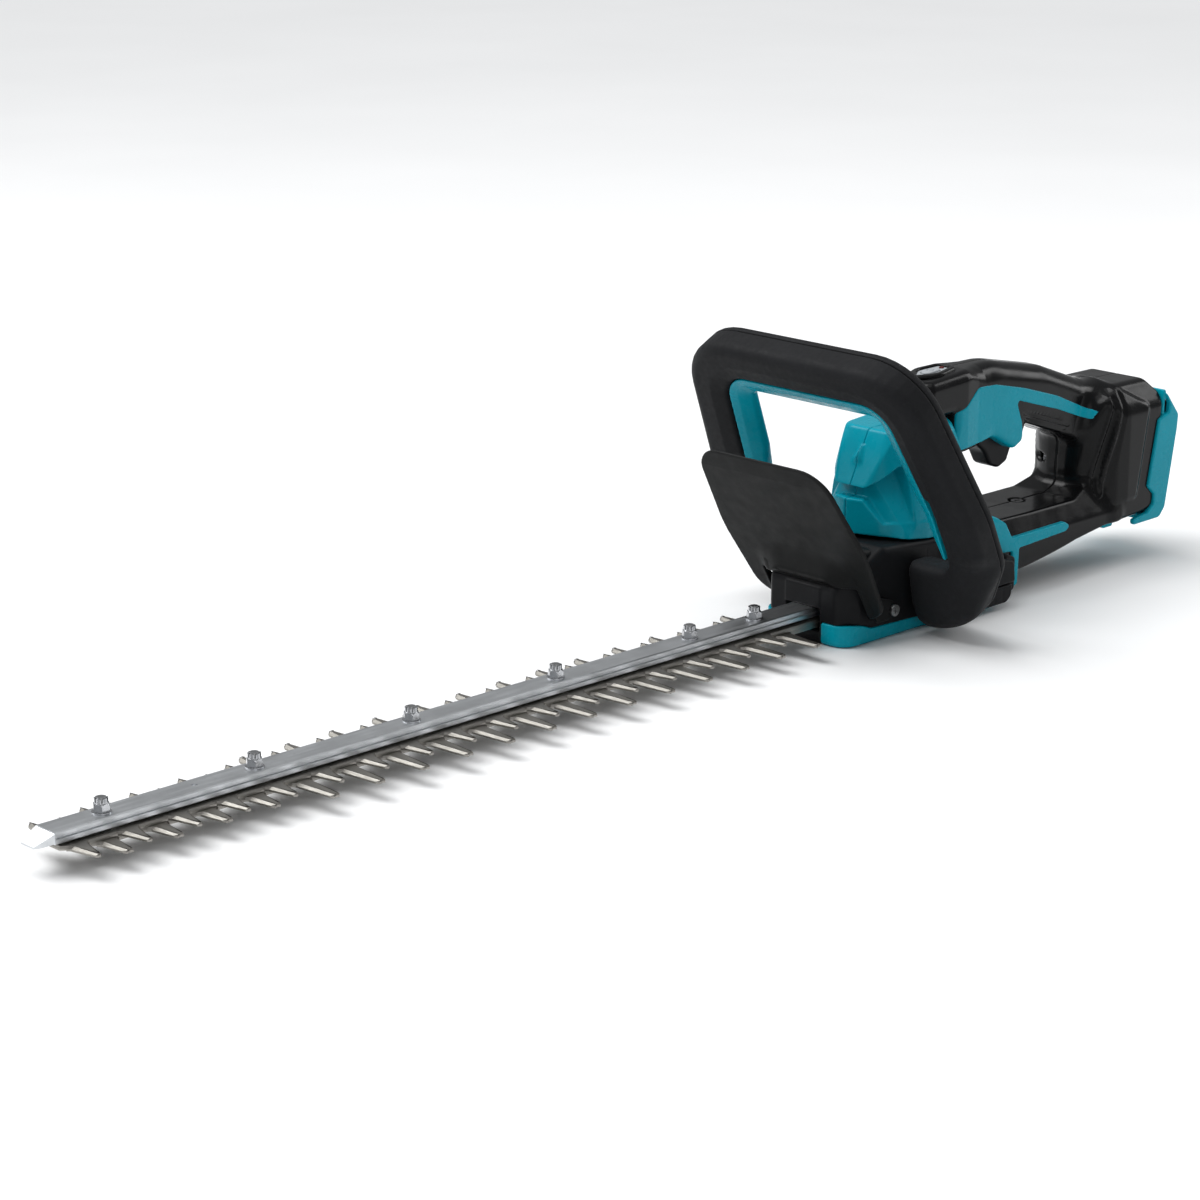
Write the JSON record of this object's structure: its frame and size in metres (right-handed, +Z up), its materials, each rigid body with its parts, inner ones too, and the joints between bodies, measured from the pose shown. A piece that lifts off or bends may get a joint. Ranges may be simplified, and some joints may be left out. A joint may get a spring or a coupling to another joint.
{
  "type": "hedge trimmer",
  "caption": "Battery hedge trimmer with a long double reciprocating blade, a loop front handle, a hand guard and a D-shaped rear handle.",
  "frame": {"origin": "on the flat face under the undercover, on the tool's centre plane, 38 mm behind the undercover's front end", "axes": "+X towards the blade's tip, +Y to the tool's left, +Z up"},
  "size_m": [0.8949, 0.2104, 0.1852],
  "materials": {
    "bar_aluminium": "satin anodised extrusion with fine lengthwise drawing lines",
    "blade_steel": "nickel plated, warm grey, ground edges",
    "zinc_steel": "bright zinc plated",
    "nut_chrome": "polished plating",
    "black_screw": "black oxide",
    "felt": "oiled felt",
    "case_black": "fine moulded texture, semi matt",
    "teal_gloss": "polished moulding with light orange peel",
    "gear_steel": "machined, oiled",
    "bearing_steel": "ground",
    "copper": "enamelled copper wire",
    "handle_black": "soft sheen, worn glossier on the ridges",
    "terminal_brass": "tinned",
    "circuit_board": "potted circuit board",
    "trigger_black": "fine texture",
    "panel_silver": "metallic silver lacquer",
    "lamp_red": "diffusing red lens",
    "elastomer": "soft matt elastomer, very fine grain",
    "elastomer_grained": "leather grained elastomer",
    "guard_black": "satin moulding",
    "lead_red": "silicone insulation",
    "lead_black": "silicone insulation"
  },
  "bodies": {
    "body": {"guide_bar": "bar_aluminium", "blade_bolts": "zinc_steel", "bolt_sleeves": "zinc_steel", "bolt_washers": "zinc_steel", "dome_nuts": "nut_chrome", "bar_screws": "black_screw", "felt_pad": "felt", "gear_case": "case_black", "undercover": "teal_gloss", "undercover_screws": "black_screw", "crank_bearings": "bearing_steel", "motor_bearings": "bearing_steel", "motor_stator": "gear_steel", "stator_coils": "copper", "motor_housing_left": "teal_gloss", "motor_housing_right": "teal_gloss", "handle_housing_left": "handle_black", "handle_housing_right": "handle_black", "grip_trim_left": "teal_gloss", "grip_trim_right": "teal_gloss", "beam_belt_left": "teal_gloss", "beam_belt_right": "teal_gloss", "rear_frame": "teal_gloss", "battery_rails": "case_black", "terminal_block": "case_black", "terminals": "terminal_brass", "controller": "circuit_board", "trigger_switch": "case_black", "trigger_pin": "zinc_steel", "trigger_spring": "zinc_steel", "power_panel": "panel_silver", "power_switch": "circuit_board", "indicator_light": "lamp_red", "loop_front": "elastomer", "loop_rear": "elastomer_grained", "lever_pins": "zinc_steel", "lever_switch": "case_black", "lever_springs": "zinc_steel", "loop_feet": "case_black", "hand_guard": "guard_black", "guard_screws": "zinc_steel", "housing_screws": "black_screw", "handle_screws": "black_screw", "battery_leads": "lead_red", "motor_leads": "lead_black", "rear_foot": "teal_gloss"},
    "upper_blade": {"upper_blade": "blade_steel"},
    "lower_blade": {"lower_blade": "blade_steel"},
    "crank": {"crank_gear": "gear_steel"},
    "rotor": {"motor_rotor": "gear_steel", "motor_pinion": "gear_steel", "cooling_fan": "case_black"},
    "trigger": {"trigger": "trigger_black"},
    "lever": {"loop_lever": "teal_gloss"},
    "button": {"power_button": "panel_silver"}
  },
  "joints": [
    {"name": "upper_blade_slide", "type": "slide", "parent": "body", "child": "upper_blade", "axis": [1, 0, 0], "range_m": [-0.008, 0.008]},
    {"name": "lower_blade_slide", "type": "slide", "parent": "body", "child": "lower_blade", "axis": [1, 0, 0], "range_m": [-0.008, 0.008]},
    {"name": "crank_spin", "type": "hinge", "parent": "body", "child": "crank", "pos_m": [-0.021, 0, 0.025], "axis": [0, 0, 1], "continuous": true},
    {"name": "rotor_spin", "type": "hinge", "parent": "body", "child": "rotor", "pos_m": [-0.04975, 0, 0.065], "axis": [0, 0, 1], "continuous": true},
    {"name": "trigger_pull", "type": "hinge", "parent": "body", "child": "trigger", "pos_m": [-0.113, 0, 0.111], "axis": [0, 1, 0], "range_deg": [0, 11], "stiffness_Nm_per_rad": 0.5, "springref_deg": -5.73},
    {"name": "lever_squeeze", "type": "hinge", "parent": "body", "child": "lever", "pos_m": [-0.02779, 0, 0.04375], "axis": [0, -1, 0], "range_deg": [0, 3], "stiffness_Nm_per_rad": 6, "springref_deg": -5.73},
    {"name": "power_button_press", "type": "slide", "parent": "body", "child": "button", "axis": [-0.0645, 0, -0.9979], "range_m": [0, 0.001], "stiffness_N_per_m": 400, "springref_m": -0.0005}
  ],
  "couplings": [
    {"joint": "lower_blade_slide", "follows": "upper_blade_slide", "ratio": -1},
    {"joint": "crank_spin", "follows": "upper_blade_slide", "rad_per_m": -196.35},
    {"joint": "rotor_spin", "follows": "upper_blade_slide", "rad_per_m": 706.86}
  ]
}
